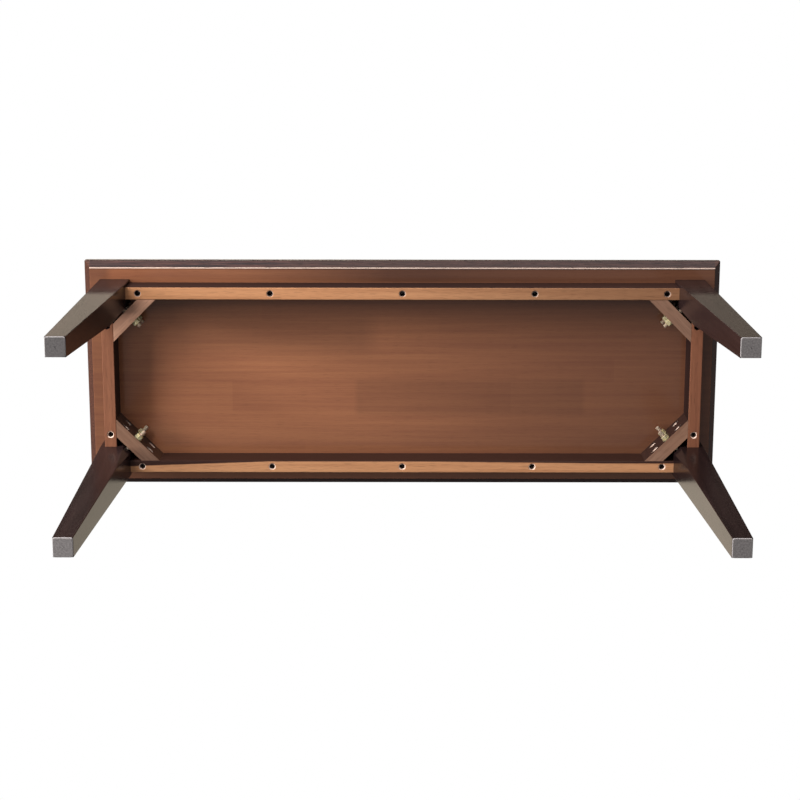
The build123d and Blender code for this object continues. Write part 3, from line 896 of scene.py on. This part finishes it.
def felt_pad(half, tall, chance, rolled=0.9 * MM, sides=144):
    """A pad: a section carried round a square of power 12, at 1 / (cos^12 a + sin^12 a)^(1/12) of half.

    The section goes out along the bottom, round a quarter turn of radius rolled, up the side and back along
    the top. The bottom is uneven by up to a tenth of a millimetre. The second result is 1 on the rim.
    """
    quarter = np.linspace(-math.pi / 2, 0.0, 6)
    bottom = np.linspace(0.04, 0.9, 12) * (half - rolled)
    reach = np.concatenate([bottom, half - rolled + rolled * np.cos(quarter)])
    lift = np.concatenate([np.zeros(12), rolled + rolled * np.sin(quarter)])
    reach = np.append(reach, [half, 0.97 * half, 0.04 * half])
    lift = np.append(lift, [0.93 * tall, tall, tall])
    a = angles(sides)
    square = (np.cos(a) ** 12 + np.sin(a) ** 12) ** (-1 / 12)
    height = np.repeat(lift[:, None], sides, axis=1)
    height[:12] += chance.uniform(0.0, 0.1 * MM, (12, sides))
    rim = np.concatenate([np.zeros(12), [0, 0.3, 0.7, 1, 1, 1], [1, 0, 0]])
    return revolve(reach[:, None] * square[None, :], height, sides), np.repeat(rim[:, None], sides, axis=1)


# Below the bench and a little in front, looking up at its underside: metres, and degrees about x, y and z
CAMERA_PLACE = (-0.00665, -0.59083, -2.33018)
CAMERA_TURN = (167.2595, 0.0504, -0.0823)


class BENCH_OT_studio(bpy.types.Operator):
    """Set the pale floor, the soft lamps, the white surround and the camera below the bench"""

    bl_idname = "bench.studio"
    bl_label = "Set the studio"

    def execute(self, context):
        studio = context.scene.bench_studio
        add_floor(context, studio)
        add_surround(context)
        key = add_lamp(context, "key_softbox", (-1.9, -2.1, -1.0), (1.8, 0.9), studio.key_power)
        key.visible_glossy = False
        left = add_lamp(context, "left_softbox", (-2.4, -0.3, -0.9), (1.0, 1.0), studio.left_power)
        left.visible_glossy = False
        add_lamp(context, "top_softbox", (-2.4, -2.4, 1.9), (1.6, 1.6), studio.top_power)
        back = add_lamp(context, "back_softbox", (1.6, 1.8, 3.2), (1.4, 1.4), studio.back_power)
        back.visible_glossy = False
        under = add_lamp(context, "under_softbox", (-0.7, -0.9, -2.6), (2.0, 2.0), studio.under_power)
        under.visible_glossy = False
        strip = add_lamp(context, "gleam_strip", (0.0, -2.2, -1.4), (3.4, 0.7), studio.gleam_power)
        strip.visible_diffuse = False
        lens = bpy.data.cameras.new("studio_camera")
        lens.lens = studio.lens
        lens.sensor_width = 36.0
        lens.clip_end = 60.0
        camera = bpy.data.objects.new("studio_camera", lens)
        camera.location = CAMERA_PLACE
        camera.rotation_euler = Euler([math.radians(v) for v in CAMERA_TURN])
        context.scene.collection.objects.link(camera)
        context.scene.camera = camera
        context.scene.view_settings.view_transform = "Standard"
        return {"FINISHED"}


def add_floor(context, studio):
    """A matt floor that is clear from below, so that it never hides the view from beneath."""
    half = studio.floor_size / 2
    mesh = bpy.data.meshes.new("studio_floor")
    square = [(-half, -half, 0), (half, -half, 0), (half, half, 0), (-half, half, 0)]
    mesh.from_pydata(square, [], [(0, 1, 2, 3)])
    floor = bpy.data.objects.new("studio_floor", mesh)
    context.scene.collection.objects.link(floor)
    material, tree = new_material("matt_studio_floor")
    pale = (*context.scene.bench_colours.floor, 1.0)
    matt = add_node(tree, "ShaderNodeBsdfDiffuse", {"Color": pale})
    clear = add_node(tree, "ShaderNodeBsdfTransparent")
    side = add_node(tree, "ShaderNodeNewGeometry").outputs["Backfacing"]
    mix = add_node(tree, "ShaderNodeMixShader", {0: side, 1: matt.outputs[0], 2: clear.outputs[0]})
    add_node(tree, "ShaderNodeOutputMaterial", {"Surface": mix.outputs[0]})
    mesh.materials.append(material)
    floor.visible_shadow = False
    floor.visible_diffuse = False
    floor.visible_glossy = False


def add_surround(context):
    """A white surround for the eye, which lights the bench as a dim room with two warm reflectors above.

    One reflector is a narrow strip over the front, brighter on the left. The other is behind, high up. The
    room is brighter towards the front horizon and darker towards the back.
    """
    world = bpy.data.worlds.new("white_surround")
    context.scene.world = world
    world.use_nodes = True
    tree = world.node_tree
    tree.nodes.clear()
    way = add_node(tree, "ShaderNodeTexCoord").outputs["Generated"]
    across, along, up = add_node(tree, "ShaderNodeSeparateXYZ", {0: way}).outputs
    changes = (
        # a direction's coordinate, where the change starts and ends, and the values there
        (along, -0.215, -0.192, 0.0, 1.0),
        (along, -0.156, -0.168, 0.0, 1.0),
        (across, -0.05, 0.05, 3.1, 1.3),
        (along, 0.2, 0.26, 0.05, 1.1),
        (across, -0.05, 0.05, 1.35, 0.9),
        (up, -1.0, 0.0, 0.25, 0.12),
        (along, -0.85, -0.97, 0.0, 0.9),
        (along, 0.55, 0.75, 1.0, 0.3),
        (up, 0.8, 0.9, 0.0, 1.0),
    )
    strip_in, strip_out, strip_level, behind, behind_level, room, horizon, dusk, overhead = (
        add_node(tree, "ShaderNodeMapRange", enumerate(change)).outputs[0] for change in changes
    )
    strip = add_node(tree, "ShaderNodeMath", {0: strip_in, 1: strip_out}, operation="MULTIPLY").outputs[0]
    strip = add_node(tree, "ShaderNodeMath", {0: strip, 1: strip_level}, operation="MULTIPLY").outputs[0]
    inputs = {0: behind, 1: behind_level, 2: strip}
    reflectors = add_node(tree, "ShaderNodeMath", inputs, operation="MULTIPLY_ADD").outputs[0]
    room = add_node(tree, "ShaderNodeMath", {0: room, 1: horizon}, operation="ADD").outputs[0]
    room = add_node(tree, "ShaderNodeMath", {0: room, 1: dusk}, operation="MULTIPLY").outputs[0]
    inputs = {0: overhead, 2: room, 3: reflectors}
    level = add_node(tree, "ShaderNodeMix", inputs, data_type="FLOAT").outputs[0]
    inputs = {0: overhead, 6: (1.0, 0.96, 0.97, 1.0), 7: (1.0, 0.87, 0.68, 1.0)}
    tint = add_node(tree, "ShaderNodeMix", inputs, data_type="RGBA").outputs[2]
    dim = add_node(tree, "ShaderNodeBackground", {"Color": tint, "Strength": level})
    white = add_node(tree, "ShaderNodeBackground", {"Color": (1.0, 1.0, 1.0, 1.0), "Strength": 1.0})
    seen = add_node(tree, "ShaderNodeLightPath").outputs["Is Camera Ray"]
    mix = add_node(tree, "ShaderNodeMixShader", {0: seen, 1: dim.outputs[0], 2: white.outputs[0]})
    add_node(tree, "ShaderNodeOutputWorld", {"Surface": mix.outputs[0]})


def add_lamp(context, name, place, size, power):
    """A softbox of size (width, height) at place, aimed at the middle of the bench with its width level."""
    lamp = bpy.data.lights.new(name, "AREA")
    lamp.shape = "RECTANGLE"
    lamp.size, lamp.size_y = size
    lamp.energy = power
    holder = bpy.data.objects.new(name, lamp)
    low, high = CAD_BOUNDS
    holder.location = place
    holder.rotation_euler = ((low + high) / 2 - Vector(place)).to_track_quat("-Z", "Y").to_euler()
    holder.visible_camera = False
    context.scene.collection.objects.link(holder)
    return holder


# ---------------------------------------------------------------- panel and registration

STEPS = (
    BENCH_OT_seat,
    BENCH_OT_aprons,
    BENCH_OT_legs,
    BENCH_OT_braces,
    BENCH_OT_hanger_bolts,
    BENCH_OT_washers,
    BENCH_OT_hex_nuts,
    BENCH_OT_seat_screws,
    BENCH_OT_brace_screws,
    BENCH_OT_foot_pads,
    BENCH_OT_studio,
)
SETTINGS = {"bench_sizes": HardwareSizes, "bench_colours": FinishColours, "bench_studio": StudioSettings}


class BENCH_PT_steps(bpy.types.Panel):
    """Every step of the bench, with its sizes and colours"""

    bl_label = "Joined Bench"
    bl_space_type = "VIEW_3D"
    bl_region_type = "UI"
    bl_category = "Bench"

    def draw(self, context):
        for step in STEPS:
            self.layout.operator(step.bl_idname)
        for holder, group in SETTINGS.items():
            box = self.layout.box()
            for name in group.__annotations__:
                box.prop(getattr(context.scene, holder), name)


def register():
    """Register the settings, the operators and the panel."""
    for holder, group in SETTINGS.items():
        bpy.utils.register_class(group)
        setattr(bpy.types.Scene, holder, PointerProperty(type=group))
    for item in (*STEPS, BENCH_PT_steps):
        bpy.utils.register_class(item)


def unregister():
    """Take it all out again, in the opposite order."""
    for item in (BENCH_PT_steps, *reversed(STEPS)):
        bpy.utils.unregister_class(item)
    for holder, group in reversed(SETTINGS.items()):
        delattr(bpy.types.Scene, holder)
        bpy.utils.unregister_class(group)


def main():
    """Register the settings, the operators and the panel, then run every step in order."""
    register()
    for step in STEPS:
        family, name = step.bl_idname.split(".")
        getattr(getattr(bpy.ops, family), name)()


if __name__ == "__main__":
    main()
